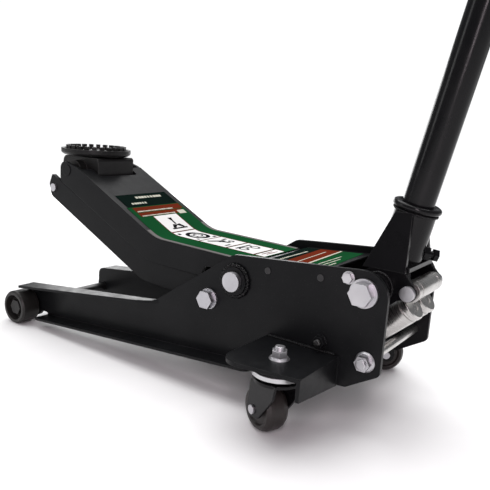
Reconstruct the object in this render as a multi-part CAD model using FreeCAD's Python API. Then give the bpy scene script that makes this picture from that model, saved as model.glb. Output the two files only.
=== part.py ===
import FreeCAD, Part
import math
import os

# Low-profile hydraulic trolley jack with a two-pump power unit.
# Units mm. +X runs from the saddle towards the handle, +Y to the operator's right,
# +Z up. Positions are laid out from a point on the floor and moved at export so that
# X = 0 falls midway between the front rollers and the end of the handle.

os.makedirs("parts", exist_ok=True)
V = FreeCAD.Vector
YAX = V(0, 1, 0)
ZAX = V(0, 0, 1)

# ---- frame ----
half_w = 90.0            # outer face of each side plate
plate_t = 6.0
inner_y = half_w - plate_t
flange_w = 30.0
flange_t = 4.0
rise = 0.0779            # slope of the frame's rear top edge
base_rise = 0.0853       # slope of its bottom edge
nose_x = -481.0
tail_x = 220.5
# ---- lift linkage (x, z) ----
arm_pivot = (-3.0, 169.0)
arm_reach = (-387.0, 117.0)
link_offset = (-45.0, -36.0)
link_pivot = (arm_pivot[0] + link_offset[0], arm_pivot[1] + link_offset[1])
yoke_pivot = (arm_pivot[0] + arm_reach[0], arm_pivot[1] + arm_reach[1])
link_front = (yoke_pivot[0] + link_offset[0], yoke_pivot[1] + link_offset[1])
arm_y = 73.0             # outer face of the lift arm
arm_t = 6.0
link_y = (58.0, 65.0)
pivot_r = 14.0
# ---- saddle ----
saddle_x = -398.0
saddle_rim_z = 322.0
saddle_r = 62.0
yoke_top_z = 309.0
stem_z = 299.0           # foot of the saddle stem
# ---- rolling gear ----
axle = (-466.5, 30.0)
axle_r = 9.0
roller_r = 30.0
roller_y = (95.0, 130.0)
king = (112.5, 149.5)
swivel_left = 24.0       # caster swivel at rest, degrees
swivel_right = 213.0
shelf_z = 104.0
shelf_t = 5.0
caster_r = 31.0
caster_trail = 20.0
caster_half_w = 16.0     # half width of the caster wheel
# ---- pump and handle ----
socket_pivot = (190.0, 193.0)
lean = 11.8              # handle lean from the vertical, degrees
socket_len = 107.0
tube_r = 20.5
cheek_y = (43.2, 49.2)
pin_arm = 40.0           # roller pin behind the socket pivot
press_r = 13.0
pump_y = 23.5
pump_deg = 42.0
cap_r = 19.0
cap_len = 58.0
crank_r = 70.0
ram_z = arm_pivot[1] - crank_r
block_x = 118.0
ram_r = 15.0
ram_end = 113.0          # rear end of the ram rod inside the cylinder
bore_end = 150.0
barrel_seat = 8.0        # depth of the pump barrels in the block
spring_y = 47.5
filler_x = 104.0
filler_z = ram_z + 36.0
handle_len = 1150.0
clear = 0.05             # radial running clearance

lean_rad = math.radians(lean)
handle_end_x = socket_pivot[0] + handle_len * math.sin(lean_rad) + 24.0 * math.cos(lean_rad)
front_x = axle[0] - roller_r
shift_x = -0.5 * (handle_end_x + front_x)


# ---- helpers ----
def corner(points, i):
    """Start, middle and end of the fillet at vertex i, or the plain vertex."""
    x, z, r = points[i]
    px, pz = points[i - 1][0], points[i - 1][1]
    nx, nz = points[(i + 1) % len(points)][0], points[(i + 1) % len(points)][1]
    p = V(x, z, 0)
    a = (V(px, pz, 0) - p).normalize()
    b = (V(nx, nz, 0) - p).normalize()
    if r <= 0:
        return [p]
    half = a.getAngle(b) / 2.0
    tangent = r / math.tan(half)
    centre = p + (a + b).normalize() * (r / math.sin(half))
    middle = centre + (p - centre).normalize() * r
    return [p + a * tangent, middle, p + b * tangent]


def face_of(points, place):
    """Planar face from (u, v, fillet) vertices, each put in space by place(u, v)."""
    stops = [corner(points, i) for i in range(len(points))]
    edges = []
    for i, stop in enumerate(stops):
        if len(stop) == 3:
            a, m, b = [place(p.x, p.y) for p in stop]
            edges.append(Part.Arc(a, m, b).toShape())
        nxt = stops[(i + 1) % len(stops)][0]
        if (stop[-1] - nxt).Length > 1e-6:
            edges.append(Part.makeLine(place(stop[-1].x, stop[-1].y), place(nxt.x, nxt.y)))
    return Part.Face(Part.Wire(edges))


def slab_y(points, y0, y1):
    """Profile in XZ swept from y0 to y1."""
    face = face_of(points, lambda u, v: V(u, y0, v))
    return face.extrude(V(0, y1 - y0, 0))


def slab_z(points, z0, z1):
    """Profile in XY swept from z0 to z1."""
    face = face_of(points, lambda u, v: V(u, v, z0))
    return face.extrude(V(0, 0, z1 - z0))


def box(x0, x1, y0, y1, z0, z1):
    return Part.makeBox(x1 - x0, y1 - y0, z1 - z0, V(x0, y0, z0))


def bar_y(x, z, r, y0, y1):
    return Part.makeCylinder(r, y1 - y0, V(x, y0, z), YAX)


def rod(start, direction, r, length):
    return Part.makeCylinder(r, length, start, direction)


def hexagon(start, direction, across, height):
    """Hexagonal prism with its top edge chamfered like a turned nut."""
    circum = across / math.sqrt(3.0)
    points = [V(circum * math.cos(k * math.pi / 3), circum * math.sin(k * math.pi / 3), 0) for k in range(7)]
    prism = Part.Face(Part.makePolygon(points)).extrude(V(0, 0, height))
    cone = Part.makeCone(circum + height, circum * 0.93, height + circum * 0.07)
    prism = prism.common(cone)
    prism.Placement = FreeCAD.Placement(start, FreeCAD.Rotation(ZAX, direction))
    return prism


def mirror(shape):
    return shape.mirror(V(0, 0, 0), YAX)


def both(shape):
    return [shape, mirror(shape)]


def fuse(shapes):
    result = shapes[0].multiFuse(shapes[1:]) if len(shapes) > 1 else shapes[0]
    return result.removeSplitter()


def export(name, shapes):
    """Write one node; separate pieces of one kind stay separate solids."""
    shapes = shapes if isinstance(shapes, list) else [shapes]
    solids = []
    for shape in shapes:
        solids.extend(shape.Solids)
    result = Part.makeCompound(solids) if len(solids) > 1 else solids[0]
    result.translate(V(shift_x, 0, 0))
    result.exportStep("parts/" + name + ".step")


def flange_nut(x, z, size, y0, out):
    """Flanged hexagon nut with a stub of thread, on a side plate facing out (+1 or -1)."""
    way = V(0, out, 0)
    base = V(x, y0, z)
    skirt = Part.makeCone(size * 1.11, size * 0.92, size * 0.22, base, way)
    nut = hexagon(base + way * (size * 0.2), way, size * 1.5, size * 0.72)
    stub = rod(base, way, size * 0.5, size * 1.18)
    return fuse([skirt, nut, stub])


def hex_bolt(x, z, size, y0, out, washer_r, washer_t, shank):
    """Hexagon bolt with a washer under the head and a shank running inwards."""
    way = V(0, out, 0)
    base = V(x, y0, z)
    washer = rod(base, way, washer_r, washer_t)
    head = hexagon(base + way * washer_t, way, size * 1.5, size * 0.64)
    stem = rod(base - way * shank, way, size * 0.5, shank + washer_t)
    return fuse([washer, head, stem])


# ---- frame ----
def bottom_z(x):
    return 51.1 + base_rise * x


def web_profile():
    top = 205.8 + rise * (tail_x + 4.5)
    return [(nose_x, 12, 10), (nose_x, 67.4, 13), (-155, 105.8, 40), (-9, 205.4, 22),
            (tail_x, top, 34), (tail_x, 93, 8), (177, bottom_z(177), 7),
            (-420.5, bottom_z(-420.5), 1), (-420.5, 22.5, 3), (-437, 22.5, 4), (-447, 12, 6)]


def top_flange():
    """Outward flange along the low front part of the plate, narrowing towards the rear."""
    slope = (106.5 - 69.2) / 317.0

    def on_top(u, v):
        return V(u, v, 69.2 + slope * (u + 466.0))
    plan = [(-469, 85, 0), (-469, half_w + flange_w, 4), (-185, 103, 0), (-140, 88, 0)]
    return face_of(plan, on_top).extrude(V(0, 0, -flange_t))


def bottom_flange():
    def on_base(u, v):
        return V(u, v, bottom_z(u))
    outer = half_w + flange_w
    plan = [(-420, 85, 0), (-420, outer, 4), (46, outer, 12), (46, 85, 0)]
    return face_of(plan, on_base).extrude(V(0, 0, flange_t))


def side_plate():
    web = slab_y(web_profile(), inner_y, half_w)
    plate = fuse([web, top_flange(), bottom_flange()])
    holes = [(axle[0], axle[1], axle_r), (arm_pivot[0], arm_pivot[1], pivot_r), (200, 106.5, 6),
             (link_pivot[0], link_pivot[1], 8), (socket_pivot[0], socket_pivot[1], 9),
             (137, 117, 5), (167.5, 208, 4)]
    for x, z, r in holes:
        plate = plate.cut(bar_y(x, z, r, inner_y - 2, half_w + 2))
    return plate


def pivot_boss():
    """Turned reinforcing ring welded round the arm pivot, with its weld bead."""
    ring = bar_y(arm_pivot[0], arm_pivot[1], 20, half_w, half_w + 6)
    bead = Part.makeTorus(20, 3, V(arm_pivot[0], half_w + 0.6, arm_pivot[1]), YAX)
    bead = bead.common(box(-60, 60, half_w, half_w + 9, 120, 220))
    return fuse([ring, bead]).cut(bar_y(arm_pivot[0], arm_pivot[1], pivot_r, 80, 110))


def caster_bracket():
    """Shelf outside the side plate, turned down at the rear."""
    shelf = slab_z([(55, half_w, 0), (55, 203, 24), (165, 188, 4), (165, half_w, 0)],
                   shelf_z - shelf_t, shelf_z)
    skirt = slab_y([(160, shelf_z, 0), (165, shelf_z, 2), (165, 55, 0), (160, 55, 0)], half_w, 188)
    taper = Part.Face(Part.makePolygon([V(150, 189, 75), V(150, 189, 50), V(150, 89, 50), V(150, 89, 64),
                                        V(150, 189, 75)])).extrude(V(20, 0, 0))
    bead = rod(V(162, half_w, 66), ZAX, 4, 38).common(box(150, 170, half_w, 100, 50, 110))
    body = fuse([shelf, skirt.cut(taper), bead])
    return body.cut(rod(V(king[0], king[1], 80), ZAX, 6, 40))


def cover_plate():
    """Top cover between the side plates, a little below their edges."""
    t = 2.5

    def on_top(u, v):
        return V(u, v, 196.3 + rise * u)
    plate = face_of([(16, -inner_y, 0), (16, inner_y, 0), (126, inner_y, 0), (126, -inner_y, 0)],
                    on_top).extrude(V(0, 0, -t))
    lips = []
    for side in (-1, 1):
        y0, y1 = sorted([side * inner_y, side * (inner_y - 2.5)])
        lip = slab_y([(20, 195.8, 0), (122, 203.8, 0), (122, 184, 4), (20, 176, 4)], y0, y1)
        lips.append(lip)
    return fuse([plate] + lips)


def plug_welds():
    """Round plugs that hold the cover, ground nearly flush with the plate."""
    return [bar_y(x, z, 4.5, half_w, half_w + 1.2) for x, z in ((49.3, 193.5), (129, 200))]


# ---- lift arm ----
bend_x = -175.7


def arm_top_z(x):
    front = 111.3 - 0.5 * x
    rear = 194.6 - 0.026 * x
    return max(front, rear)


def arm_skin():
    """Bent top plate with a slot at the front for the saddle yoke."""
    bx, bz = bend_x, arm_top_z(bend_x)
    front = (-357.0, arm_top_z(-357.0))
    profile = [(front[0], front[1], 0), (bx, bz, 70), (8, arm_top_z(8), 22), (27, 172, 3),
               (20.5, 171, 0), (6, 187.2, 17), (bx - 1.3, bz - 6.4, 76), (front[0] - 2.7, front[1] - 5.4, 0)]
    skin = slab_y(profile, -arm_y, arm_y)
    slot = slab_z([(-380, -45, 0), (-336, -45, 6), (-336, 45, 6), (-380, 45, 0)], 230, 320)
    return skin.cut(slot)


def arm_flange():
    """Side flange: ear round the yoke pivot, bent band, hub round the main pivot."""
    bx, bz = bend_x, arm_top_z(bend_x) - 1
    px, pz = yoke_pivot
    profile = [(px - 17, pz + 18, 12), (-363, arm_top_z(-363) - 1, 10), (bx, bz, 70),
               (8, arm_top_z(8) - 1, 21), (27, 168, 14), (16, 143, 14), (-22, 141, 14), (-40, 174, 6),
               (-73, 174, 6),
               (-80, 157.5, 6), (-190, 160.5, 60), (px - 17, pz - 20, 12)]
    flange = slab_y(profile, arm_y - arm_t, arm_y)
    edge = flange.cut(bar_y(px, pz, 10 + clear, 50, 80))
    return edge.cut(bar_y(arm_pivot[0], arm_pivot[1], pivot_r + clear, 50, 80))


def lift_arm():
    hub = bar_y(arm_pivot[0], arm_pivot[1], 21, -arm_y, arm_y)
    stiffener = box(-118, -112, -56.5, 56.5, 132, 194)
    body = fuse([arm_skin()] + both(arm_flange()) + [hub, stiffener])
    return body.cut(bar_y(arm_pivot[0], arm_pivot[1], pivot_r + clear, -90, 90))


def arm_crank():
    """Two crank plates under the main pivot that the ram pushes on."""
    x, z = arm_pivot
    plate = slab_y([(x - 20, z - 12, 0), (x - 15, ram_z - 14, 12), (x + 15, ram_z - 14, 12),
                    (x + 20, z - 12, 0)], 30, 38)
    plate = plate.cut(bar_y(x, z, 21, 20, 50)).cut(bar_y(x, ram_z, 10, 20, 50))
    return both(plate)


def crank_pin():
    x = arm_pivot[0]
    pin = bar_y(x, ram_z, 10, -40, 40)
    heads = [bar_y(x, ram_z, 13, 38, 41), bar_y(x, ram_z, 13, -41, -38)]
    return fuse([pin] + heads)


# ---- links and yoke ----
def link_bar():
    """Bent flat bar that keeps the saddle level."""
    bx, bz = link_pivot
    fx, fz = link_front
    lower_bend = -208.0
    profile = [(fx - 13, fz + 6, 11), (fx - 5, fz + 24, 2), (lower_bend + 17, 158, 60), (bx + 2, bz + 20, 18),
               (bx + 18, bz, 17), (bx + 2, bz - 17, 17), (lower_bend, 123, 60), (fx - 7, fz - 15, 13)]
    bar = slab_y(profile, link_y[0], link_y[1])
    bar = bar.cut(bar_y(bx, bz, 8 + clear, 50, 70))
    return bar.cut(bar_y(fx, fz, 7.6, 50, 70))


def yoke():
    """Box-shaped head pivoted on the arm, with lugs for the links and the saddle bore."""
    fx, fz = link_front
    px, pz = yoke_pivot
    profile = [(-345, yoke_top_z, 6), (-345, 263, 12), (px + 12, 246, 20), (fx + 4, fz - 12, 11),
               (fx - 13, fz - 4, 11), (fx - 8, fz + 22, 12), (-436, yoke_top_z, 10)]
    body = slab_y(profile, -42, 42)
    hollow = slab_y([(-355, 290, 5), (-355, 268, 5), (px + 8, 254, 6), (-405, 254, 4), (-405, 290, 5)],
                    -34, 34)
    keep = bar_y(px, pz, 17, -34, 34)
    bosses = [bar_y(px, pz, 17, 40, 57.5), bar_y(fx, fz, 13, 40, 57.5)]
    body = fuse([body.cut(hollow.cut(keep))] + bosses + [mirror(b) for b in bosses])
    body = body.cut(bar_y(px, pz, 10, -70, 70)).cut(bar_y(fx, fz, 7, -70, 70))
    bore = rod(V(saddle_x, 0, stem_z - 1), ZAX, 18 + clear, 30)
    return body.cut(bore)


def yoke_pins():
    px, pz = yoke_pivot
    pin = bar_y(px, pz, 10, 46, arm_y)
    head = bar_y(px, pz, 10, arm_y, arm_y + 1.2)
    return both(fuse([pin, head]))


def link_pins():
    fx, fz = link_front
    return both(bar_y(fx, fz, 7, 44, 68))


def saddle():
    """Round dish with a ring of teeth, turning on its stem."""
    z0 = yoke_top_z + 0.5
    rim = saddle_rim_z
    outline = [V(0, 0, z0), V(49, 0, z0), V(57.5, 0, z0 + 1.6), V(61, 0, z0 + 4.2), V(saddle_r, 0, z0 + 6),
               V(saddle_r, 0, rim), V(57.5, 0, rim), V(54, 0, rim - 4.5), V(0, 0, rim - 4.5), V(0, 0, z0)]
    dish = Part.Face(Part.makePolygon(outline)).revolve(V(0, 0, 0), ZAX, 360)
    teeth = []
    count = 24
    for k in range(count):
        tooth = box(47, 53.5, -3.8, 3.8, rim - 5, rim + 5.5)
        tooth = tooth.cut(box(46, 49.5, -2.4, 2.4, rim + 1.5, rim + 7))
        tooth.rotate(V(0, 0, 0), ZAX, 360.0 * k / count)
        teeth.append(tooth)
    hub = rod(V(0, 0, rim - 5), ZAX, 17, 3)
    stem = rod(V(0, 0, stem_z), ZAX, 18, z0 - stem_z + 1)
    ribs = []
    for k in range(4):
        rib = box(16, 48, -2.5, 2.5, rim - 5, rim - 2)
        rib.rotate(V(0, 0, 0), ZAX, 45 + 90.0 * k)
        ribs.append(rib)
    body = fuse([dish, hub, stem] + teeth + ribs)
    body.translate(V(saddle_x, 0, 0))
    return body


# ---- front axle and rollers ----
def front_axle():
    return bar_y(axle[0], axle[1], axle_r, -124, 124)


def front_roller():
    """Steel roller with a deep hub recess on its outer face."""
    y0, y1 = roller_y
    pts = [V(axle_r + clear, y0, 0), V(28, y0, 0), V(roller_r, y0 + 2, 0), V(roller_r, y1 - 3, 0),
           V(27.5, y1, 0), V(23, y1, 0), V(21.5, y1 - 13, 0), V(axle_r + clear, y1 - 13, 0),
           V(axle_r + clear, y0, 0)]
    wheel = Part.Face(Part.makePolygon(pts)).revolve(V(0, 0, 0), YAX, 360)
    wheel.translate(V(axle[0], 0, axle[1]))
    return wheel


def axle_nuts():
    nut = hexagon(V(axle[0], roller_y[1] - 12.6, axle[1]), YAX, 24, 9)
    washer = bar_y(axle[0], axle[1], 15, roller_y[1] - 12.8, roller_y[1] - 11)
    pair = fuse([nut, washer]).cut(bar_y(axle[0], axle[1], axle_r, 100, 124))
    return both(pair)


def axle_spacers():
    ring = bar_y(axle[0], axle[1], 15, half_w, roller_y[0] - 0.3)
    return both(ring.cut(bar_y(axle[0], axle[1], axle_r, 80, 100)))


# ---- casters ----
def race_disc():
    """Dished race plate between the shelf and the caster fork."""
    z = shelf_z - shelf_t
    outline = [V(6, 0, z), V(21, 0, z), V(29, 0, z - 5), V(33.5, 0, z - 8.5), V(33.5, 0, z - 14),
               V(31, 0, z - 14), V(31, 0, z - 9.5), V(27.5, 0, z - 7), V(19.5, 0, z - 3), V(6, 0, z - 3),
               V(6, 0, z)]
    disc = Part.Face(Part.makePolygon(outline)).revolve(V(0, 0, 0), ZAX, 360)
    disc.translate(V(king[0], king[1], 0))
    return disc


def kingpin():
    """Kingpin with its head under the fork and a flanged nut on the shelf."""
    x, y = king
    head = hexagon(V(x, y, 67.5), ZAX, 18, 6.5)
    shank = rod(V(x, y, 70), ZAX, 6, 50)
    skirt = Part.makeCone(13.3, 11, 2.6, V(x, y, shelf_z), ZAX)
    nut = hexagon(V(x, y, shelf_z + 2.4), ZAX, 18, 8.8)
    return fuse([head, shank, skirt, nut])


def swung(shape, angle):
    """A caster piece swung about its kingpin to its rest angle."""
    piece = shape.copy()
    piece.rotate(V(king[0], king[1], 0), ZAX, angle)
    return piece


def caster_fork():
    """Pressed fork: round crown and two tapered cheeks, axle behind the kingpin line."""
    x, y = king
    ax = x - caster_trail
    crown_z = 80.0
    crown = rod(V(x, y, crown_z - 4), ZAX, 31, 4)
    neck = rod(V(x, y, crown_z - 1), ZAX, 15, shelf_z - shelf_t - 3.3 - crown_z + 1)
    outline = [(ax - 14, caster_r, 13), (x - 29, 64, 10), (x - 24, crown_z, 0), (x + 26, crown_z, 0),
               (x + 22, 60, 14), (ax + 12, 22, 12), (ax - 10, 20, 9)]
    inside = caster_half_w + 2.0
    cheeks = [slab_y(outline, y + inside, y + inside + 3.5), slab_y(outline, y - inside - 3.5, y - inside)]
    fork = fuse([crown, neck] + cheeks)
    fork = fork.cut(rod(V(x, y, 60), ZAX, 6 + clear, 40))
    return fork.cut(bar_y(ax, caster_r, 4, y - 30, y + 30))


def caster_axle():
    x, y = king[0] - caster_trail, king[1]
    face = caster_half_w + 5.5
    pin = bar_y(x, caster_r, 4, y - face, y + face)
    ends = [bar_y(x, caster_r, 6, y + face, y + face + 2.6), bar_y(x, caster_r, 6, y - face - 2.6, y - face)]
    return fuse([pin] + ends)


def caster_wheel():
    w = caster_half_w
    r = caster_r
    outline = [V(4 + clear, -w, 0), V(11, -w, 0), V(11, -w + 3, 0), V(20, -w + 3, 0), V(22, -w, 0),
               V(26, -w, 0), V(r - 1.2, -w + 5, 0), V(r, -w + 9, 0), V(r, w - 9, 0), V(r - 1.2, w - 5, 0),
               V(26, w, 0),
               V(22, w, 0), V(20, w - 3, 0), V(11, w - 3, 0), V(11, w, 0), V(4 + clear, w, 0),
               V(4 + clear, -w, 0)]
    wheel = Part.Face(Part.makePolygon(outline)).revolve(V(0, 0, 0), YAX, 360)
    wheel.translate(V(king[0] - caster_trail, king[1], caster_r))
    return wheel


# ---- power unit ----
pump_dir = V(math.cos(math.radians(pump_deg)), 0, math.sin(math.radians(pump_deg)))
roller_at = V(socket_pivot[0] + pin_arm, 0, socket_pivot[1])
cap_face = roller_at - pump_dir * (press_r + 0.35) - V(-pump_dir.z, 0, pump_dir.x) * 15.0


def pump_block():
    """Cast block across the frame, its rear face square to the pumps."""
    foot = cap_face - pump_dir * 90.0
    up = V(-pump_dir.z, 0, pump_dir.x)
    high = foot + up * 42.0
    low = foot - up * 26.0
    profile = [(block_x, 78, 6), (block_x, high.z, 8), (high.x, high.z, 6), (low.x, low.z, 6),
               (low.x - 16, 78, 6)]
    block = slab_y(profile, -inner_y, inner_y)
    side = box(block_x - 1, 200, 62, inner_y + 1, 138, 200)
    block = block.cut(side).cut(mirror(side))
    bore = rod(V(60, 0, ram_z), V(1, 0, 0), ram_r + clear, bore_end - 60)
    block = block.cut(bore)
    for y in (-pump_y, pump_y):
        block = block.cut(rod(foot - pump_dir * barrel_seat + V(0, y, 0), pump_dir, 16, 20))
    for y in (-inner_y - 1, inner_y - 22):
        block = block.cut(bar_y(137, 117, 5, y, y + 23))
    return block.cut(rod(V(129, 0, high.z - 24), ZAX, 8 + clear, 40))


def pump_barrels():
    """The two fixed pump barrels that the caps slide over."""
    foot = cap_face - pump_dir * 90.0
    return [rod(foot - pump_dir * barrel_seat + V(0, y, 0), pump_dir, 16, barrel_seat + 46)
            for y in (-pump_y, pump_y)]


def pump_cap(y):
    """Plunger cap: turned cup with a groove near its crowned end."""
    inner = 16 + clear
    outline = [V(inner, 0, 0), V(cap_r, 0, 0), V(cap_r, 0, cap_len - 11), V(cap_r - 1.8, 0, cap_len - 10),
               V(cap_r - 1.8, 0, cap_len - 7.5), V(cap_r, 0, cap_len - 6.5), V(cap_r, 0, cap_len - 1.5),
               V(cap_r - 1.5, 0, cap_len), V(9, 0, cap_len), V(7.5, 0, cap_len - 1.2), V(0, 0, cap_len - 1.2),
               V(0, 0, cap_len - 9), V(inner, 0, cap_len - 9), V(inner, 0, 0)]
    cup = Part.Face(Part.makePolygon(outline)).revolve(V(0, 0, 0), ZAX, 360)
    cup.Placement = FreeCAD.Placement(cap_face - pump_dir * cap_len + V(0, y, 0),
                                      FreeCAD.Rotation(ZAX, pump_dir))
    return cup


def cylinder():
    """Lift cylinder in front of the block."""
    tube = rod(V(80, 0, ram_z), V(1, 0, 0), 27, block_x - 80)
    return tube.cut(rod(V(60, 0, ram_z), V(1, 0, 0), ram_r + clear, 80))


def gland_nut():
    nut = hexagon(V(80, 0, ram_z), V(-1, 0, 0), 52, 12)
    return nut.cut(rod(V(60, 0, ram_z), V(1, 0, 0), ram_r + clear, 80))


def reservoir():
    """Oil tank round the cylinder."""
    tank = rod(V(86, 0, ram_z), V(1, 0, 0), 38, block_x - 86)
    rim = rod(V(86, 0, ram_z), V(1, 0, 0), 40, 5)
    tank = fuse([tank, rim]).cut(rod(V(60, 0, ram_z), V(1, 0, 0), 27, 80))
    return tank.cut(rod(V(filler_x, 0, filler_z), ZAX, 8, 10))


def filler_plug():
    seat = rod(V(filler_x, 0, filler_z), ZAX, 8, 4)
    return fuse([seat, hexagon(V(filler_x, 0, filler_z + 3), ZAX, 13, 6)])


def ram():
    """Ram rod with its slotted head and the cross bar of the return springs."""
    x = arm_pivot[0]
    head = slab_y([(x - 22, ram_z - 20, 8), (x - 22, ram_z + 30, 8), (x + 22, ram_z + 30, 8),
                   (x + 22, ram_z - 20, 8)],
                  -26, 26)
    slot = fuse([bar_y(x, ram_z, 10.8, -40, 40), bar_y(x, ram_z + 10, 10.8, -40, 40),
                 box(x - 10.8, x + 10.8, -40, 40, ram_z, ram_z + 10)])
    stem = rod(V(x + 20, 0, ram_z), V(1, 0, 0), ram_r, ram_end - x - 20)
    cross = slab_y([(x + 28, ram_z - 12, 0), (x + 28, ram_z + 12, 0), (x + 34, ram_z + 12, 0),
                    (x + 34, ram_z - 12, 0)],
                   -54, 54)
    return fuse([head.cut(slot), stem, cross])


def return_spring(y):
    """Tension spring from the cross bar of the ram to the pump block."""
    x0 = arm_pivot[0] + 34
    length = block_x - x0
    pitch = 5.2
    turns_len = length - 6
    helix = Part.makeHelix(pitch, turns_len, 5.2)
    section = Part.Wire([Part.makeCircle(0.95, V(5.2, 0, 0), V(0, 1, 0))])
    coil = Part.Wire(helix).makePipeShell([section], True, True)
    coil.Placement = FreeCAD.Placement(V(x0 + 3, y, ram_z), FreeCAD.Rotation(ZAX, V(1, 0, 0)))
    ends = [rod(V(x0, y, ram_z), V(1, 0, 0), 5.8, 3.6), rod(V(block_x - 3.6, y, ram_z), V(1, 0, 0), 5.8, 3.6)]
    return fuse([coil] + ends)


def release_valve():
    """Release valve stem on top of the block with its cross-pinned fork."""
    top = (cap_face - pump_dir * 90.0 + V(-pump_dir.z, 0, pump_dir.x) * 42.0).z
    stem = rod(V(129, 0, top - 20), ZAX, 8, 26)
    head = box(121.5, 136.5, -7.5, 7.5, top + 5, top + 19).cut(box(115, 145, -3, 3, top + 9, top + 25))
    return fuse([stem, head]).cut(bar_y(129, top + 14, 2, -10, 10))


# ---- handle socket ----
handle_dir = V(math.sin(lean_rad), 0, math.cos(lean_rad))
pivot_at = V(socket_pivot[0], 0, socket_pivot[1])


def along(dist):
    return pivot_at + handle_dir * dist


def cheek_low():
    """Upright part of one cheek, with the pivot and roller lugs."""
    px, pz = socket_pivot
    rx = px + pin_arm
    plate = slab_y([(px - 24, pz + 24, 14), (px + 33, pz + 24, 4), (rx + 12, pz + 3, 10),
                    (rx + 7, pz - 11, 10),
                    (rx - 12, pz - 11, 12), (px + 15, pz - 23, 17), (px - 17, pz - 21, 17)],
                   cheek_y[0], cheek_y[1])
    return plate


def cheek_high():
    """Upper part of one cheek, leaning in to meet the tube."""
    px, pz = socket_pivot
    base = pz + 23.0
    top = along(92)
    plate = slab_y([(px - 24, base, 0), (top.x - 15, base + 76, 3), (top.x + 8, base + 76, 3),
                    (px + 33, base, 0)],
                   cheek_y[0], cheek_y[1])
    plate.rotate(V(0, cheek_y[1], base), V(1, 0, 0), 15.4)
    return plate


def socket_tube():
    """Socket tube with its rolled collar."""
    tube = rod(along(30), handle_dir, 27, socket_len - 30)
    collar = Part.makeTorus(27.4, 4.2, along(socket_len - 2), handle_dir)
    floor = box(socket_pivot[0] - 12, socket_pivot[0] + 36, -cheek_y[0], cheek_y[0],
                socket_pivot[1] + 24, socket_pivot[1] + 30)
    body = fuse([tube, collar, floor])
    return body.cut(rod(along(36), handle_dir, tube_r + clear, 100))


def socket_cheeks():
    """Both cheeks with the turned bosses that fill the gap to the side plates."""
    px, pz = socket_pivot
    cheek = fuse([cheek_low(), cheek_high()])
    boss = bar_y(px, pz, 18, cheek_y[0], inner_y - 1.3)
    cheek = fuse([cheek, boss]).cut(bar_y(px, pz, 9 + clear, 0, 90))
    cheek = cheek.cut(bar_y(px + pin_arm, pz, 6, 0, 90))
    cheek = cheek.cut(rod(along(20), handle_dir, 27, 120))
    inside = box(px - 60, px + 80, -cheek_y[0], cheek_y[0], pz + 20, pz + 30.5)
    return both(cheek.cut(inside))


def press_roller():
    x, z = socket_pivot[0] + pin_arm, socket_pivot[1]
    barrel = bar_y(x, z, press_r, -42.6, 42.6)
    groove = bar_y(x, z, press_r + 2, 30, 31.6).cut(bar_y(x, z, press_r - 0.7, 20, 40))
    return barrel.cut(groove).cut(mirror(groove)).cut(bar_y(x, z, 6 + clear, -50, 50))


def roller_pin():
    x, z = socket_pivot[0] + pin_arm, socket_pivot[1]
    pin = bar_y(x, z, 6, -54, 54)
    heads = [bar_y(x, z, 9.5, 49.2, 56), bar_y(x, z, 9.5, -56, -49.2)]
    return fuse([pin] + heads)


def clamp_bolt():
    """Set bolt that holds the handle in its socket, on a welded nut."""
    side = V(math.cos(lean_rad), 0, -math.sin(lean_rad))
    way = (side * 0.82 + V(0, 0.57, 0)).normalize()
    base = along(47) + way * 26.4
    nut = hexagon(base, way, 17, 8)
    shank = rod(base, way, 4.5, 15)
    head = hexagon(base + way * 14, way, 15, 6)
    return fuse([nut, shank, head]).cut(rod(along(30), handle_dir, 27, 100))


# ---- handle ----
def tube_along(start, end, r, wall):
    body = rod(along(start), handle_dir, r, end - start)
    return body.cut(rod(along(start - 1), handle_dir, r - wall, end - start + 2))


def handle_lower():
    return tube_along(38, 640, tube_r, 2.5)


def handle_upper():
    return tube_along(560, handle_len - 4, tube_r - 2.5, 2.5)


def handle_grip():
    outline = [V(tube_r - 2.5, 0, 0), V(23, 0, 0), V(24, 0, 2), V(24, 0, 150), V(22, 0, 155), V(0, 0, 155),
               V(0, 0, 151), V(tube_r - 2.5, 0, 151), V(tube_r - 2.5, 0, 0)]
    grip = Part.Face(Part.makePolygon(outline)).revolve(V(0, 0, 0), ZAX, 360)
    for k in range(11):
        ring = Part.makeTorus(24.6, 1.5, V(0, 0, 14 + 12 * k), ZAX)
        grip = grip.cut(ring)
    grip.Placement = FreeCAD.Placement(along(handle_len - 155), FreeCAD.Rotation(ZAX, handle_dir))
    return grip


def handle_screw():
    """Screw through both handle tubes at their joint."""
    at = along(600)
    shank = bar_y(at.x, at.z, 4, -24, 24)
    head = hexagon(V(at.x, -tube_r, at.z), V(0, -1, 0), 13, 5.5)
    nut = hexagon(V(at.x, tube_r, at.z), YAX, 13, 6)
    return fuse([shank, head, nut])


def drilled(tube):
    at = along(600)
    return tube.cut(bar_y(at.x, at.z, 4, -30, 30))


# ---- fasteners on the side plates ----
def link_bolts():
    x, z = link_pivot
    bolt = hex_bolt(x, z, 16, half_w, 1, 15, 3, half_w - 56)
    sleeve = bar_y(x, z, 11, link_y[1] + 0.3, inner_y)
    keeper = bar_y(x, z, 12, 53, link_y[0] - 0.3)
    return both(fuse([bolt, sleeve, keeper]))


def socket_bolts():
    x, z = socket_pivot
    return both(hex_bolt(x, z, 18, half_w, 1, 18.4, 4.5, half_w - 50))


def pivot_shaft():
    return bar_y(arm_pivot[0], arm_pivot[1], pivot_r, -103, 103)


def tie_rod():
    return bar_y(200, 106.5, 6, -half_w, half_w)


def tie_nuts():
    ring = flange_nut(200, 106.5, 12, half_w, 1)
    return both(ring)


def unit_bolts():
    bolt = hex_bolt(137, 117, 10, half_w, 1, 9.5, 1.8, 26)
    stub = bar_y(137, 117, 4, half_w, half_w + 12)
    return both(fuse([bolt, stub]))


def cover_bolts():
    return both(hex_bolt(167.5, 208, 8, half_w, 1, 8.3, 1.4, 12))


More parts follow.
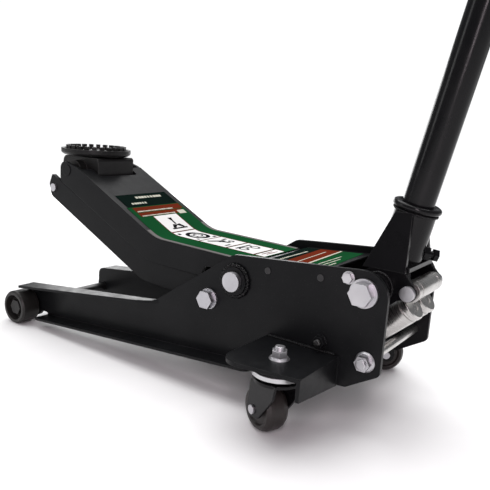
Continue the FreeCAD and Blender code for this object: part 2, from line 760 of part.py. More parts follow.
# ---- nodes ----
plate = side_plate()
export("side_plate_right", plate)
export("side_plate_left", mirror(plate))
export("pivot_bosses", both(pivot_boss()))
bracket = caster_bracket()
export("caster_bracket_right", bracket)
export("caster_bracket_left", mirror(bracket))
export("cover_plate", cover_plate())
export("plug_welds", plug_welds() + [mirror(p) for p in plug_welds()])
export("pivot_shaft", pivot_shaft())
export("link_bolts", link_bolts())
export("socket_bolts", socket_bolts())
export("tie_rod", tie_rod())
export("tie_rod_nuts", tie_nuts())
export("unit_bolts", unit_bolts())
export("cover_bolts", cover_bolts())
export("front_axle", front_axle())
export("axle_nuts", axle_nuts())
export("axle_spacers", axle_spacers())
roller = front_roller()
export("front_roller_right", roller)
export("front_roller_left", mirror(roller))
export("caster_races", both(race_disc()))
export("kingpins", both(kingpin()))
fork = caster_fork()
export("caster_fork_right", swung(fork, swivel_right))
export("caster_fork_left", mirror(swung(fork, swivel_left)))
pin = caster_axle()
export("caster_axle_right", swung(pin, swivel_right))
export("caster_axle_left", mirror(swung(pin, swivel_left)))
wheel = caster_wheel()
export("caster_wheel_right", swung(wheel, swivel_right))
export("caster_wheel_left", mirror(swung(wheel, swivel_left)))
export("pump_block", pump_block())
export("pump_barrels", pump_barrels())
export("pump_cap_right", pump_cap(pump_y))
export("pump_cap_left", pump_cap(-pump_y))
export("lift_cylinder", cylinder())
export("gland_nut", gland_nut())
export("reservoir", reservoir())
export("filler_plug", filler_plug())
export("release_valve", release_valve())
export("ram", ram())
export("return_spring_right", return_spring(spring_y))
export("return_spring_left", return_spring(-spring_y))
export("lift_arm", lift_arm())
export("arm_crank", arm_crank())
export("crank_pin", crank_pin())
link = link_bar()
export("link_bar_right", link)
export("link_bar_left", mirror(link))
export("saddle_yoke", yoke())
export("yoke_pins", yoke_pins())
export("link_pins", link_pins())
export("saddle", saddle())
export("socket_tube", socket_tube())
export("socket_cheeks", socket_cheeks())
export("press_roller", press_roller())
export("roller_pin", roller_pin())
export("clamp_bolt", clamp_bolt())
export("handle_lower", drilled(handle_lower()))
export("handle_upper", drilled(handle_upper()))
export("handle_grip", handle_grip())
export("handle_screw", handle_screw())
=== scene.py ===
import math

import bmesh
import bpy
from mathutils import Euler, Matrix, Vector


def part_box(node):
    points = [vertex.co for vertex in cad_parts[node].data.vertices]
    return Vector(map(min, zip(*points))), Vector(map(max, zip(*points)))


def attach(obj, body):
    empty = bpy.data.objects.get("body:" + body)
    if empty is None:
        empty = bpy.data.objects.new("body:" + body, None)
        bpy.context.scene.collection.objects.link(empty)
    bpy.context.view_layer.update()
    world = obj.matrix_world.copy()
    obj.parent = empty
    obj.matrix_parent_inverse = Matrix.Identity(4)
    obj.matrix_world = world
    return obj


# Looks of a low-profile trolley jack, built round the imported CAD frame: finishes for the CAD parts,
# and new pieces for the weld beads, screw threads and printed labels.
# New pieces are drawn in millimetres, in the layout that the CAD was drawn in, and at() turns a
# layout point into metres. Materials, lights and the stage are in metres.

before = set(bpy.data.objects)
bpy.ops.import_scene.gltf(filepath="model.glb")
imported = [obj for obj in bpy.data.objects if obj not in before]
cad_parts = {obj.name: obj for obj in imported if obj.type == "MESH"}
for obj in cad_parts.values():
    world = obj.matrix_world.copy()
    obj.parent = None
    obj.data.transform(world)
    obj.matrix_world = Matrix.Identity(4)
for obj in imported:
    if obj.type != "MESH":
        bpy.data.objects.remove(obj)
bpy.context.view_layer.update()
MM = 0.001


# ---- the layout, taken from the frame ----
def middle(node):
    """Middle of a CAD part's box, in metres."""
    low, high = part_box(node)
    return (low + high) / 2


SIDES = (("left", -1.0), ("right", 1.0))
FLANGE = 30.0          # a side plate's flange stands out this far from its web
PIVOT_X = -3.0         # the arm's main pivot is 3 mm in front of the layout's zero
PIVOT_Z = middle("pivot_shaft").z / MM
ZERO_X = middle("pivot_shaft").x - PIVOT_X * MM
WEB_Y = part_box("side_plate_right")[1].y / MM - FLANGE
SHELF_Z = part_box("caster_bracket_right")[1].z / MM


def at(x, y, z):
    """A point of the layout, in metres in the row frame."""
    return Vector((ZERO_X + x * MM, y * MM, z * MM))


# ---- shader helpers ----
def nodes_of(name):
    """A new material with a Principled shader, and its object coordinates."""
    mat = bpy.data.materials.new(name)
    mat.use_nodes = True
    tree = mat.node_tree
    tree.nodes.clear()
    out = tree.nodes.new("ShaderNodeOutputMaterial")
    shader = tree.nodes.new("ShaderNodeBsdfPrincipled")
    tree.links.new(shader.outputs["BSDF"], out.inputs["Surface"])
    coords = tree.nodes.new("ShaderNodeTexCoord").outputs["Object"]
    return mat, tree, shader, coords


def noise(tree, coords, scale, detail, stretch=None):
    """Noise value in object space; stretch is a scale per axis."""
    if stretch:
        mapping = tree.nodes.new("ShaderNodeMapping")
        mapping.inputs["Scale"].default_value = stretch
        tree.links.new(coords, mapping.inputs["Vector"])
        coords = mapping.outputs["Vector"]
    node = tree.nodes.new("ShaderNodeTexNoise")
    node.inputs["Scale"].default_value = scale
    node.inputs["Detail"].default_value = detail
    tree.links.new(coords, node.inputs["Vector"])
    return node.outputs["Fac"]


def spread(tree, value, low, high, to_low, to_high):
    """Maps a value from one range to another, clamped."""
    node = tree.nodes.new("ShaderNodeMapRange")
    ends = (("From Min", low), ("From Max", high), ("To Min", to_low), ("To Max", to_high))
    for key, number in ends:
        node.inputs[key].default_value = number
    tree.links.new(value, node.inputs["Value"])
    return node.outputs["Result"]


def blend(tree, factor, first, second):
    """Mixes two colours; either may be a socket."""
    node = tree.nodes.new("ShaderNodeMix")
    node.data_type = "RGBA"
    tree.links.new(factor, node.inputs["Factor"])
    for index, value in ((6, first), (7, second)):
        if isinstance(value, tuple):
            node.inputs[index].default_value = (*value, 1.0)
        else:
            tree.links.new(value, node.inputs[index])
    return node.outputs[2]


def multiply(tree, first, second):
    node = tree.nodes.new("ShaderNodeMath")
    node.operation = "MULTIPLY"
    tree.links.new(first, node.inputs[0])
    tree.links.new(second, node.inputs[1])
    return node.outputs[0]


def bump(tree, height, strength, distance, normal):
    node = tree.nodes.new("ShaderNodeBump")
    node.inputs["Strength"].default_value = strength
    node.inputs["Distance"].default_value = distance
    tree.links.new(height, node.inputs["Height"])
    tree.links.new(normal, node.inputs["Normal"])
    return node.outputs["Normal"]


def rounded(tree, radius):
    """A normal that rounds sharp edges by a radius in metres."""
    node = tree.nodes.new("ShaderNodeBevel")
    node.samples = 6
    node.inputs["Radius"].default_value = radius
    return node.outputs["Normal"]


def edge_mask(tree, soft_normal, low, high):
    """1 on sharp edges, 0 on faces: how far the rounded normal leans from the flat one."""
    flat = tree.nodes.new("ShaderNodeNewGeometry").outputs["Normal"]
    dot = tree.nodes.new("ShaderNodeVectorMath")
    dot.operation = "DOT_PRODUCT"
    tree.links.new(soft_normal, dot.inputs[0])
    tree.links.new(flat, dot.inputs[1])
    return spread(tree, dot.outputs["Value"], high, low, 0.0, 1.0)


def darker(colour, factor):
    return tuple(c * factor for c in colour)


# ---- finishes ----
DUST = (0.35, 0.34, 0.32)
STAIN = (0.34, 0.31, 0.27)
BROAD, PATCHY, SPECKS = 9.0, 60.0, 520.0       # noise scales, from large clouds to single specks


def finish_of(name, base, tint, rough, fine, metallic=0.0, specular=0.5, edge=None, radius=0.0008,
              relief=0.12, depth=0.0002, dust=0.0):
    """A painted, plated or moulded surface.

    Its colour drifts from base to tint and its roughness over the range rough; fine, relief and
    depth are the grain's scale, strength and height. Edges rounded by radius wear to the colour
    edge, and dust is the strength of pale specks.
    """
    mat, tree, shader, coords = nodes_of(name)
    broad = noise(tree, coords, BROAD, 4.0)
    patchy = noise(tree, coords, PATCHY, 5.0)
    colour = blend(tree, spread(tree, broad, 0.35, 0.65, 0.0, 1.0), base, tint)
    soft = rounded(tree, radius)
    if edge:
        mask = edge_mask(tree, soft, 0.80, 0.985)
        worn = multiply(tree, mask, spread(tree, patchy, 0.42, 0.62, 0.15, 1.0))
        colour = blend(tree, worn, colour, edge)
    if dust:
        specks = noise(tree, coords, SPECKS, 2.0)
        colour = blend(tree, spread(tree, specks, 0.66, 0.78, 0.0, dust), colour, DUST)
    tree.links.new(colour, shader.inputs["Base Color"])
    tree.links.new(spread(tree, patchy, 0.3, 0.7, *rough), shader.inputs["Roughness"])
    grain = noise(tree, coords, fine, 2.0)
    tree.links.new(bump(tree, grain, relief, depth, soft), shader.inputs["Normal"])
    shader.inputs["Metallic"].default_value = metallic
    shader.inputs["Specular IOR Level"].default_value = specular
    return mat


TURNED_COLOUR = (0.60, 0.585, 0.57)
TURNED_ROUGH = (0.24, 0.34)
TURNED_GROOVES = (40.0, 40.0, 2600.0)          # noise scale across and along the turning axis
TURNED_RELIEF, TURNED_DEPTH, TURNED_EDGE = 0.05, 0.00001, 0.0006


def turned_steel(node, axis):
    """Lathe-turned steel for one CAD part: fine rings about an axis through its middle."""
    mat, tree, shader, coords = nodes_of(node + "_steel")
    mapping = tree.nodes.new("ShaderNodeMapping")
    mapping.vector_type = "TEXTURE"
    mapping.inputs["Location"].default_value = middle(node)
    mapping.inputs["Rotation"].default_value = Vector(axis).to_track_quat("Z", "Y").to_euler()
    tree.links.new(coords, mapping.inputs["Vector"])
    local = mapping.outputs["Vector"]
    rings = noise(tree, local, 1.0, 1.0, TURNED_GROOVES)
    patchy = noise(tree, local, 45.0, 4.0)
    colour = blend(tree, spread(tree, patchy, 0.35, 0.7, 0.0, 1.0), TURNED_COLOUR,
                   darker(TURNED_COLOUR, 0.82))
    stain = noise(tree, local, 18.0, 6.0)
    colour = blend(tree, spread(tree, stain, 0.62, 0.8, 0.0, 0.5), colour, STAIN)
    tree.links.new(colour, shader.inputs["Base Color"])
    tree.links.new(spread(tree, rings, 0.3, 0.7, *TURNED_ROUGH), shader.inputs["Roughness"])
    relief = bump(tree, rings, TURNED_RELIEF, TURNED_DEPTH, rounded(tree, TURNED_EDGE))
    tree.links.new(relief, shader.inputs["Normal"])
    shader.inputs["Metallic"].default_value = 1.0
    return mat


black_paint = finish_of("black_paint", (0.0045, 0.0048, 0.0055), (0.0075, 0.0078, 0.0085),
                        (0.28, 0.40), 420.0, specular=0.11, edge=(0.030, 0.030, 0.031),
                        radius=0.0011, relief=0.10, depth=0.0004, dust=0.05)
gloss_black = finish_of("gloss_black", (0.003, 0.003, 0.0035), (0.0055, 0.0053, 0.006),
                        (0.16, 0.25), 260.0, specular=0.17, edge=(0.028, 0.028, 0.029),
                        radius=0.0012, relief=0.10, depth=0.0005)
black_cast = finish_of("black_cast", (0.006, 0.006, 0.0068), (0.013, 0.0125, 0.012),
                       (0.30, 0.48), 520.0, specular=0.18, edge=(0.10, 0.098, 0.094),
                       radius=0.0014, relief=0.45, depth=0.0007, dust=0.10)
zinc = finish_of("zinc", (0.46, 0.455, 0.48), (0.54, 0.53, 0.55), (0.34, 0.50), 700.0,
                 metallic=1.0, edge=(0.72, 0.71, 0.73), radius=0.0007, relief=0.10)
dark_steel = finish_of("dark_steel", (0.075, 0.075, 0.08), (0.12, 0.118, 0.115), (0.28, 0.45),
                       600.0, metallic=1.0, edge=(0.40, 0.40, 0.40))
race_steel = finish_of("race_steel", (0.50, 0.50, 0.51), (0.52, 0.52, 0.53), (0.30, 0.44),
                       500.0, metallic=1.0, edge=(0.80, 0.80, 0.80))
weld_grey = finish_of("weld_grey", (0.022, 0.022, 0.023), (0.032, 0.032, 0.033), (0.45, 0.6),
                      800.0, specular=0.3, edge=(0.10, 0.10, 0.10), relief=0.3)
roller_black = finish_of("roller_black", (0.008, 0.008, 0.008), (0.016, 0.015, 0.014),
                         (0.30, 0.48), 380.0, specular=0.28, edge=(0.09, 0.085, 0.08),
                         radius=0.0012, relief=0.25, depth=0.0004, dust=0.14)
wheel_plastic = finish_of("wheel_plastic", (0.014, 0.0115, 0.011), (0.024, 0.020, 0.019),
                          (0.32, 0.5), 520.0, specular=0.30, edge=(0.060, 0.054, 0.052),
                          radius=0.0012, relief=0.2, depth=0.0003, dust=0.12)
grip_rubber = finish_of("grip_rubber", (0.010, 0.010, 0.010), (0.018, 0.018, 0.018),
                        (0.55, 0.75), 1500.0, specular=0.3, edge=(0.04, 0.04, 0.04),
                        relief=0.5, depth=0.0003, dust=0.12)

FINISHES = (
    (black_paint, ("side_plate_left", "side_plate_right", "pivot_bosses", "caster_bracket_left",
                   "caster_bracket_right", "cover_plate", "lift_arm", "arm_crank",
                   "link_bar_left", "link_bar_right", "pump_block", "reservoir", "axle_spacers",
                   "unit_bolts", "yoke_pins")),
    (gloss_black, ("socket_tube", "socket_cheeks", "handle_lower", "handle_upper", "clamp_bolt",
                   "caster_fork_left", "caster_fork_right")),
    (black_cast, ("saddle", "saddle_yoke", "axle_nuts")),
    (zinc, ("pivot_shaft", "link_bolts", "socket_bolts", "tie_rod_nuts", "cover_bolts",
            "kingpins", "filler_plug", "release_valve", "link_pins", "roller_pin",
            "caster_axle_left", "caster_axle_right", "handle_screw", "return_spring_left",
            "return_spring_right")),
    (dark_steel, ("front_axle", "crank_pin", "gland_nut")),
    (race_steel, ("caster_races",)),
    (weld_grey, ("plug_welds",)),
    (roller_black, ("front_roller_left", "front_roller_right")),
    (wheel_plastic, ("caster_wheel_left", "caster_wheel_right")),
    (grip_rubber, ("handle_grip",)),
)
PUMP_LEAN = math.radians(42.0)
ALONG, ACROSS = (1, 0, 0), (0, 1, 0)
PUMP_AXIS = (math.cos(PUMP_LEAN), 0.0, math.sin(PUMP_LEAN))
TURNED_PARTS = (("pump_cap_left", PUMP_AXIS), ("pump_cap_right", PUMP_AXIS),
                ("pump_barrels", PUMP_AXIS), ("press_roller", ACROSS), ("tie_rod", ACROSS),
                ("ram", ALONG), ("lift_cylinder", ALONG))


def paint(obj, mat):
    obj.data.materials.clear()
    obj.data.materials.append(mat)


for finish, parts in FINISHES:
    for part in parts:
        paint(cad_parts[part], finish)
for part, axis in TURNED_PARTS:
    paint(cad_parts[part], turned_steel(part, axis))


# ---- mesh helpers ----
def new_piece(name, mesh, mat, body):
    """A new piece of the object from a mesh, riding on a body."""
    obj = bpy.data.objects.new(name, mesh)
    bpy.context.scene.collection.objects.link(obj)
    paint(obj, mat)
    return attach(obj, body)


def mesh_of(name, verts, faces):
    mesh = bpy.data.meshes.new(name)
    mesh.from_pydata([tuple(v) for v in verts], [], faces)
    mesh.update()
    return mesh


def directions(axis):
    """An axis as a unit vector, and two directions square to it and to each other."""
    axis = Vector(axis).normalized()
    u = axis.orthogonal().normalized()
    return axis, u, axis.cross(u)


def tube_faces(rings, sides, closed):
    """Quads between rings of points, with end caps unless the tube closes on itself."""
    faces = []
    for i in range(rings if closed else rings - 1):
        j = (i + 1) % rings
        for k in range(sides):
            m = (k + 1) % sides
            faces.append((i * sides + k, i * sides + m, j * sides + m, j * sides + k))
    if not closed:
        faces.append(tuple(range(sides - 1, -1, -1)))
        faces.append(tuple((rings - 1) * sides + k for k in range(sides)))
    return faces


def circle(centre, axis, radius, count=64):
    """Points round an axis, centre in metres and radius in millimetres."""
    _, u, w = directions(axis)
    angles = [2 * math.pi * k / count for k in range(count)]
    return [centre + (u * math.cos(a) + w * math.sin(a)) * radius * MM for a in angles]


# ---- weld beads ----
BEAD_STEP, BEAD_SIDES = 0.6, 10                # millimetres between rings, and points in a ring
BEAD_UP = Vector((0.31, 0.23, 0.92))           # no bead runs along this direction
END_THICK, END_GROWTH = 0.35, 0.2              # an open bead's thin end, and its growth per point


def resampled(points, step, closed):
    """Evenly spaced points along a line of points."""
    line = list(points) + ([points[0]] if closed else [])
    out, carry = [], 0.0
    for a, b in zip(line, line[1:]):
        length = (b - a).length
        s = carry
        while s < length:
            out.append(a.lerp(b, s / length))
            s += step
        carry = s - length
    if not closed:
        out.append(line[-1])
    return out


def bead_swell(i, spacing):
    """A bead's relative thickness at point i: fat at each pool, with two waves against sameness."""
    pool = abs(math.sin(math.pi * i * BEAD_STEP / spacing))
    return 0.72 + 0.34 * pool + 0.09 * math.sin(0.37 * i) + 0.05 * math.sin(1.3 * i)


def bead(name, points, size, body, mat, closed=False):
    """Weld bead along a line of points; size is its radius and the spacing of its pools."""
    radius, spacing = size
    line = resampled(points, BEAD_STEP * MM, closed)
    count = len(line)
    verts = []
    for i, p in enumerate(line):
        ahead = line[(i + 1) % count] if closed or i + 1 < count else p
        behind = line[i - 1] if closed or i > 0 else p
        tangent = (ahead - behind).normalized()
        side = tangent.cross(BEAD_UP).normalized()
        up = side.cross(tangent)
        thick = radius * MM * bead_swell(i, spacing)
        if not closed:
            thick *= min(1.0, END_THICK + END_GROWTH * min(i, count - 1 - i))
        for k in range(BEAD_SIDES):
            a = 2 * math.pi * k / BEAD_SIDES
            verts.append(p + (side * math.cos(a) + up * math.sin(a)) * thick)
    mesh = mesh_of(name, verts, tube_faces(count, BEAD_SIDES, closed))
    for polygon in mesh.polygons:
        polygon.use_smooth = True
    return new_piece(name, mesh, mat, body)


# Each bead's radius and the spacing of its pools.
PIVOT_BEAD, SHELF_BEAD, SKIRT_BEAD = (3.4, 5.2), (2.6, 3.2), (2.4, 3.0)
COLLAR_BEAD, BOSS_BEAD = (1.9, 3.0), (2.4, 3.0)

PIVOT_BEAD_Y, PIVOT_BEAD_R = WEB_Y + 1.6, 22.0
BRACKET_BEAD_Y, BRACKET_BEAD_Z = WEB_Y + 1.5, SHELF_Z + 1.0
SHELF_BEAD_FRONT, SKIRT_BEAD_X = 57.0, 160.0
SKIRT_BEAD_TOP, SKIRT_BEAD_LOW = SHELF_Z - 5.0, 68.0
for side, way in SIDES:
    pivot_ring = circle(at(PIVOT_X, PIVOT_BEAD_Y * way, PIVOT_Z), ACROSS, PIVOT_BEAD_R)
    bead("pivot_weld_" + side, pivot_ring, PIVOT_BEAD, "frame", gloss_black, closed=True)
    y = BRACKET_BEAD_Y * way
    shelf_line = [at(x, y, BRACKET_BEAD_Z) for x in (SHELF_BEAD_FRONT, SKIRT_BEAD_X)]
    bead("shelf_weld_" + side, shelf_line, SHELF_BEAD, "frame", black_paint)
    skirt_line = [at(SKIRT_BEAD_X, y, z) for z in (SKIRT_BEAD_TOP, SKIRT_BEAD_LOW)]
    bead("skirt_weld_" + side, skirt_line, SKIRT_BEAD, "frame", black_paint)

SOCKET_X, SOCKET_Z = 190.0, 193.0              # the handle socket's pivot
SOCKET_LEAN = math.radians(11.8)
COLLAR_FOOT, COLLAR_BEAD_R = 98.5, 27.6        # distance up the socket tube, under its collar
BOSS_BEAD_Y, BOSS_BEAD_R = 49.8, 19.0
socket_up = Vector((math.sin(SOCKET_LEAN), 0, math.cos(SOCKET_LEAN)))
collar_foot = at(SOCKET_X, 0, SOCKET_Z) + socket_up * COLLAR_FOOT * MM
collar_ring = circle(collar_foot, socket_up, COLLAR_BEAD_R)
bead("collar_weld", collar_ring, COLLAR_BEAD, "socket", gloss_black, closed=True)
for side, way in SIDES:
    boss_ring = circle(at(SOCKET_X, BOSS_BEAD_Y * way, SOCKET_Z), ACROSS, BOSS_BEAD_R)
    bead("boss_weld_" + side, boss_ring, BOSS_BEAD, "socket", gloss_black, closed=True)

# ---- screw threads ----
THREAD_SIDES, ROWS_PER_TURN = 28, 6
ROOT, CREST = 0.12, 0.42                       # groove above the bolt's surface, ridge above that
TIP_ROWS, TIP_CUT = 3, 0.35                    # rows in the chamfer, and how far each steps in


def thread(name, base, axis, size, length, mat):
    """Screw thread round the end of a bolt on the frame, with a chamfered tip."""
    radius, pitch = size
    axis, u, w = directions(axis)
    rows = int(length / pitch * ROWS_PER_TURN)
    verts = []
    for j in range(rows + 1):
        chamfer = TIP_CUT * max(0, j - rows + TIP_ROWS)
        for i in range(THREAD_SIDES):
            phase = (j / ROWS_PER_TURN - i / THREAD_SIDES) % 1.0
            ridge = 1.0 - abs(2.0 * phase - 1.0)
            r = radius + ROOT + CREST * ridge - chamfer
            a = 2 * math.pi * i / THREAD_SIDES
            out = (u * math.cos(a) + w * math.sin(a)) * r * MM
            verts.append(base + axis * (length * j / rows * MM) + out)
    faces = tube_faces(rows + 1, THREAD_SIDES, False)
    return new_piece(name, mesh_of(name, verts, faces), mat, "frame")


M12_FINE, M8_FINE = (6.0, 1.25), (4.0, 1.0)    # the bolt's radius and its thread's pitch
UP = (0, 0, 1)
TIE_END, UNIT_END = WEB_Y + 9.5, WEB_Y + 8.0   # each thread starts just inside its nut
KING_Y, KING_END = 149.5, SHELF_Z + 11.0
tie, unit, king = middle("tie_rod"), middle("unit_bolts"), middle("kingpins")
for side, way in SIDES:
    outward = (0, way, 0)
    tie_end = Vector((tie.x, TIE_END * MM * way, tie.z))
    thread("tie_thread_" + side, tie_end, outward, M12_FINE, 5.0, zinc)
    unit_end = Vector((unit.x, UNIT_END * MM * way, unit.z))
    thread("unit_thread_" + side, unit_end, outward, M8_FINE, 4.4, dark_steel)
    king_end = Vector((king.x, KING_Y * MM * way, KING_END * MM))
    thread("king_thread_" + side, king_end, UP, M12_FINE, 5.4, zinc)

# ---- labels ----
# The last colour is no vinyl: it is a grey painted highlight for the two strips beside the arm's label.
VINYLS = (("green", (0.008, 0.064, 0.021), (0.42, 0.55)), ("dark", (0.005, 0.011, 0.009), (0.42, 0.55)),
          ("red", (0.135, 0.022, 0.010), (0.42, 0.55)), ("pale", (0.55, 0.55, 0.46), (0.3, 0.42)),
          ("white", (0.78, 0.78, 0.77), (0.4, 0.5)), ("ink", (0.012, 0.012, 0.013), (0.3, 0.45)),
          ("painted_sheen", (0.16, 0.155, 0.15), (0.40, 0.52)))
vinyl = {key: finish_of("label_" + key, base, darker(base, 0.86), rough, 340.0, specular=0.0,
                        radius=0.0002, relief=0.05) for key, base, rough in VINYLS}

BEND = Vector((-175.7, 199.15))                # where the arm's two slopes would meet, x and z
FRONT_SLOPE, REAR_SLOPE, BEND_R = -0.5, -0.026, 70.0
COVER_RISE, COVER_SLOPE = 196.3, 0.0779


def arm_height(x):
    """Top of the arm, with the arc that joins its two straight stretches."""
    front = Vector((1, FRONT_SLOPE)).normalized()
    rear = Vector((1, REAR_SLOPE)).normalized()
    reach = BEND_R * math.tan(front.angle(rear) / 2)
    start = BEND - front * reach
    end = BEND + rear * reach
    if x <= start.x:
        return BEND.y + FRONT_SLOPE * (x - BEND.x)
    if x >= end.x:
        return BEND.y + REAR_SLOPE * (x - BEND.x)
    centre = start + Vector((-front.y, front.x)) * BEND_R
    return centre.y - math.sqrt(BEND_R ** 2 - (x - centre.x) ** 2)


def cover_height(x):
    return COVER_RISE + COVER_SLOPE * x


def sheet_piece(name, outlines, lift, mat, body, height, cuts=()):
    """Thin printed shapes laid on a surface: outlines are (x, y) points, cut where it bends."""
    bm = bmesh.new()
    for outline in outlines:
        bm.faces.new([bm.verts.new((x, y, 0)) for x, y in outline])
    bmesh.ops.triangulate(bm, faces=bm.faces[:])
    for x in cuts:
        geometry = bm.verts[:] + bm.edges[:] + bm.faces[:]
        bmesh.ops.bisect_plane(bm, geom=geometry, plane_co=(x, 0, 0), plane_no=(1, 0, 0))
    for v in bm.verts:
        x, y = v.co.x, v.co.y
        v.co = at(x, y, height(x) + lift)
    bmesh.ops.recalc_face_normals(bm, faces=bm.faces[:])
    for face in bm.faces:
        if face.normal.z < 0:
            face.normal_flip()
    mesh = bpy.data.meshes.new(name)
    bm.to_mesh(mesh)
    bm.free()
    return new_piece(name, mesh, mat, body)


def bar(x0, x1, y0, y1, skew=0.0):
    return [(x0, y0), (x1, y0), (x1 + skew, y1), (x0 + skew, y1)]


PRINT_GAP = 0.35                               # widest gap between two marks, as part of a step


def strokes(x0, x1, y0, y1, count):
    """A row of short marks across the jack, standing for a line of print."""
    step = (y1 - y0) / count
    marks = []
    for k in range(count):
        wide = step * (1 - PRINT_GAP * (0.6 + 0.4 * math.sin(5.1 * k)))
        marks.append(bar(x0, x1, y0 + k * step, y0 + k * step + wide))
    return marks


def ring(cx, cy, rx, ry, thick, parts=28):
    """Flat ring as a loop of quads."""
    angles = [2 * math.pi * k / parts for k in range(parts + 1)]
    outer = [(cx + rx * math.cos(a), cy + ry * math.sin(a)) for a in angles]
    inner = [(cx + (rx - thick) * math.cos(a), cy + (ry - thick) * math.sin(a)) for a in angles]
    return [[outer[k], outer[k + 1], inner[k + 1], inner[k]] for k in range(parts)]


def moved(shapes, cx, cy):
    return [[(x + cx, y + cy) for x, y in outline] for outline in shapes]


# Pictures for the boxes, each drawn round its own middle.
def stand_picture():
    """A stand with two spread legs."""
    leg = [(3, -8), (11, -14), (13, -10), (5, 2)]
    other_leg = [(x, -y) for x, y in leg]
    wedge = [(-13, -5), (-5, -1.5), (-5, 1.5), (-13, 5)]
    return [wedge, bar(-5, 3, -2, 2), leg, other_leg, bar(12, 15, -18, 18)]


def wheel_picture():
    """A road wheel with five nuts, and marks in three corners of its box."""
    shapes = ring(0, 0, 21, 20, 7.0) + ring(0, 0, 9, 8.5, 2.6)
    for k in range(5):
        a = 2 * math.pi * k / 5 + 0.3
        shapes += ring(10.5 * math.cos(a), 10 * math.sin(a), 1.9, 1.9, 1.2, 10)
    return shapes + [bar(-23, -17, -26, -20), bar(17, 23, 15, 22), bar(16, 21, -24, -19)]


def lever_picture():
    """A bent lever, a ring and two blocks."""
    bent = [[(-19, -17), (-14, -19), (-1, -1), (-7, 3)], bar(-7, 0, -6, 9),
            [(0, -3), (12, 2), (12, 7), (0, 4)]]
    return bent + ring(7, 14, 5.5, 5.5, 3.0, 14) + [bar(-12, -7, 12, 22), bar(18, 22, -19, -6)]


def rings_picture():
    """Two rings, a rail and a block."""
    return ring(0, -11, 9, 8, 3.2) + ring(5, 12, 9, 8, 3.2) + [bar(-11, -7, -20, 20), bar(-3, 2, -1, 3)]


# The arm's label, front to rear: a dark head, two red bands and a green field with a row of boxes.
LABEL_REAR = 4.0
HEAD, HEAD_HALF = (-282.0, -249.8), 60.0
FIELD_FRONT, FIELD_HALF = -250.0, 63.0
BOX_EDGES = ((-223, -181), (-178, -124), (-121, -70), (-66, -18), (-14, 2))
BOX_HALF, BOX_LINE = 28.0, 1.4
PAINTED_SHEEN_STRIPS = (63.3, 71.5)                      # strips beside the label, a painted highlight: the sheen of the arm's flat top along its edges


def arm_red():
    """Red bands, the lines between the boxes and the two lines along them."""
    bands = [bar(-248, -236, -53, HEAD_HALF), bar(-234.5, -225, -53, 52)]
    between = [bar(b + 0.6, b + 2.4, -BOX_HALF, BOX_HALF) for a, b in BOX_EDGES[:-1]]
    front, rear = BOX_EDGES[0][0], BOX_EDGES[-1][1]
    along = [bar(front, rear, s * BOX_HALF, s * (BOX_HALF + BOX_LINE)) for s in (-1, 1)]
    return bands + between + along


def arm_print():
    """Lines of print on the head and on the red bands, and a pale patch at their end."""
    head = strokes(-275, -270, -22, 42, 9) + strokes(-260, -256, -44, -8, 6)
    bands = strokes(-239, -236.4, -50, 36, 26) + strokes(-227.5, -225.2, -50, 30, 24)
    return head + bands + [bar(-231, -222, 38, 56)]


def arm_ink():
    """Pictures in the first four boxes; the fifth has two red marks."""
    return (moved(stand_picture(), -202, 2) + moved(wheel_picture(), -150, 2)
            + moved(lever_picture(), -97, 0) + moved(rings_picture(), -47, 0))


ARM_LAYERS = (
    ("label_green", "green", 0.50, [bar(FIELD_FRONT, LABEL_REAR, -FIELD_HALF, FIELD_HALF)]),
    ("label_dark", "dark", 0.62, [bar(*HEAD, -HEAD_HALF, HEAD_HALF)]),
    ("label_red", "red", 0.74, arm_red()),
    ("label_white", "white", 0.66, [bar(a, b, -BOX_HALF, BOX_HALF) for a, b in BOX_EDGES]),
    ("label_pale", "pale", 0.86, arm_print()),
    ("label_ink", "ink", 0.80, arm_ink()),
    ("label_marks", "red", 0.80, [bar(-10, -8, -18, 10), bar(-5, -3, -12, 18)]),
    # Two grey strips on the arm's flat rear part: a painted highlight standing for the sheen along its
    # top edges.
    ("painted_sheen_strips", "painted_sheen", 0.45, [bar(-195, 2, *(s * y for y in PAINTED_SHEEN_STRIPS)) for s in (-1, 1)]),
)
CUT_STEP, CUTS_EACH_WAY = 1.5, 12
bend_cuts = [BEND.x + CUT_STEP * k for k in range(-CUTS_EACH_WAY, CUTS_EACH_WAY + 1)]
for suffix, colour, lift, shapes in ARM_LAYERS:
    sheet_piece("arm_" + suffix, shapes, lift, vinyl[colour], "arm", arm_height, bend_cuts)

# The cover's label: three slanting bands across the jack, with print on them.
SKEW, COVER_HALF, COVER_LIFT, PRINT_LIFT = -8.0, 72.0, 0.35, 0.5
for colour, x0, x1 in (("dark", 24, 50), ("red", 50, 88), ("green", 88, 122)):
    band = bar(x0, x1, -COVER_HALF, COVER_HALF, SKEW)
    sheet_piece("cover_label_" + colour, [band], COVER_LIFT, vinyl[colour], "frame", cover_height)
cover_print = strokes(34, 38, -60, 40, 18)
cover_print += [bar(66, 68, -64, 52, -6), bar(84, 87.5, -COVER_HALF, COVER_HALF, SKEW)]
cover_print += strokes(97, 99.5, -60, 30, 22) + strokes(105, 107.5, -60, 10, 18)
cover_print += strokes(113, 116, -56, -20, 8)
sheet_piece("cover_label_pale", cover_print, PRINT_LIFT, vinyl["pale"], "frame", cover_height)

# ---- stage ----
FLOOR = 30.0
bpy.ops.mesh.primitive_plane_add(size=FLOOR, location=(0, 0, 0))
floor = bpy.context.object
floor.name = "floor"
floor_pale = finish_of("floor_pale", (0.86, 0.86, 0.86), (0.88, 0.88, 0.88), (0.75, 0.9), 200.0,
                       specular=0.1, relief=0.02)
paint(floor, floor_pale)


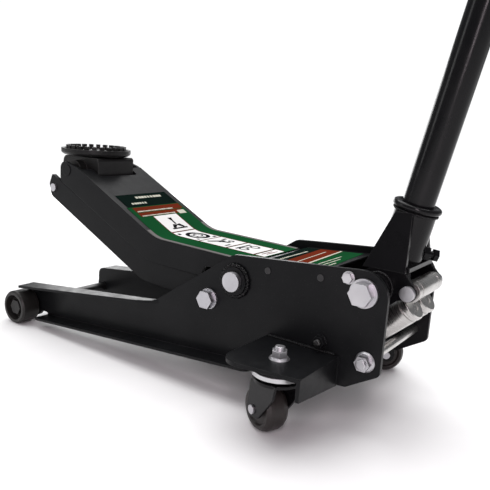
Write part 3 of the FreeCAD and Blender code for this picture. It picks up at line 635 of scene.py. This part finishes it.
def studio_world():
    """White to the camera, dim to everything else, so that black paint keeps its depth."""
    world = bpy.data.worlds.new("studio")
    bpy.context.scene.world = world
    world.use_nodes = True
    tree = world.node_tree
    backdrop = tree.nodes["Background"]
    backdrop.inputs["Color"].default_value = (1.0, 1.0, 1.0, 1.0)
    backdrop.inputs["Strength"].default_value = 1.05
    dim = tree.nodes.new("ShaderNodeBackground")
    dim.inputs["Color"].default_value = (0.95, 0.97, 1.0, 1.0)
    dim.inputs["Strength"].default_value = 0.22
    seen = tree.nodes.new("ShaderNodeLightPath")
    mixer = tree.nodes.new("ShaderNodeMixShader")
    tree.links.new(seen.outputs["Is Camera Ray"], mixer.inputs[0])
    tree.links.new(dim.outputs[0], mixer.inputs[1])
    tree.links.new(backdrop.outputs[0], mixer.inputs[2])
    tree.links.new(mixer.outputs[0], tree.nodes["World Output"].inputs["Surface"])


def lamp(name, kind, energy):
    data = bpy.data.lights.new(name, kind)
    data.energy = energy
    obj = bpy.data.objects.new(name, data)
    bpy.context.scene.collection.objects.link(obj)
    return obj


def softbox(name, place, target, size, power, colour=(1.0, 1.0, 1.0)):
    """Rectangular lamp at a place, facing a target: metres and watts."""
    obj = lamp(name, "AREA", power)
    obj.data.shape = "RECTANGLE"
    obj.data.size, obj.data.size_y = size
    obj.data.color = colour
    obj.location = place
    obj.rotation_euler = (Vector(target) - Vector(place)).to_track_quat("-Z", "Y").to_euler()


studio_world()
overhead = lamp("overhead", "SUN", 3.2)
overhead.data.angle = math.radians(70)
overhead.rotation_euler = (math.radians(-12), math.radians(-8), 0)
softbox("behind", (-1.6, 1.6, 0.52), (-0.1, 0, 0.1), (1.4, 0.84), 11)
softbox("left", (-1.9, -1.3, 1.1), (-0.1, 0, 0.15), (0.5, 1.3), 7)
softbox("strip", (1.15, -1.85, 1.15), (0.25, 0, 0.35), (0.3, 1.7), 24, (1.0, 0.86, 0.92))

# ---- camera ----
CAMERA_AT = (469.14, -757.0, 387.75)           # layout millimetres
TILT, ROLL, PAN = 78.427, -3.632, 35.342       # degrees: up from straight down, sideways, round
LENS, SENSOR = 44.21, 36.0
camera_data = bpy.data.cameras.new("camera")
camera_data.sensor_width = SENSOR
camera_data.lens = LENS
camera_data.clip_start = 0.02
camera_data.clip_end = 60.0
camera = bpy.data.objects.new("camera", camera_data)
bpy.context.scene.collection.objects.link(camera)
turn = Euler([math.radians(a) for a in (TILT, ROLL, PAN)]).to_matrix()
camera.matrix_world = Matrix.Translation(at(*CAMERA_AT)) @ turn.to_4x4()
bpy.context.scene.camera = camera
bpy.context.scene.view_settings.view_transform = "Standard"
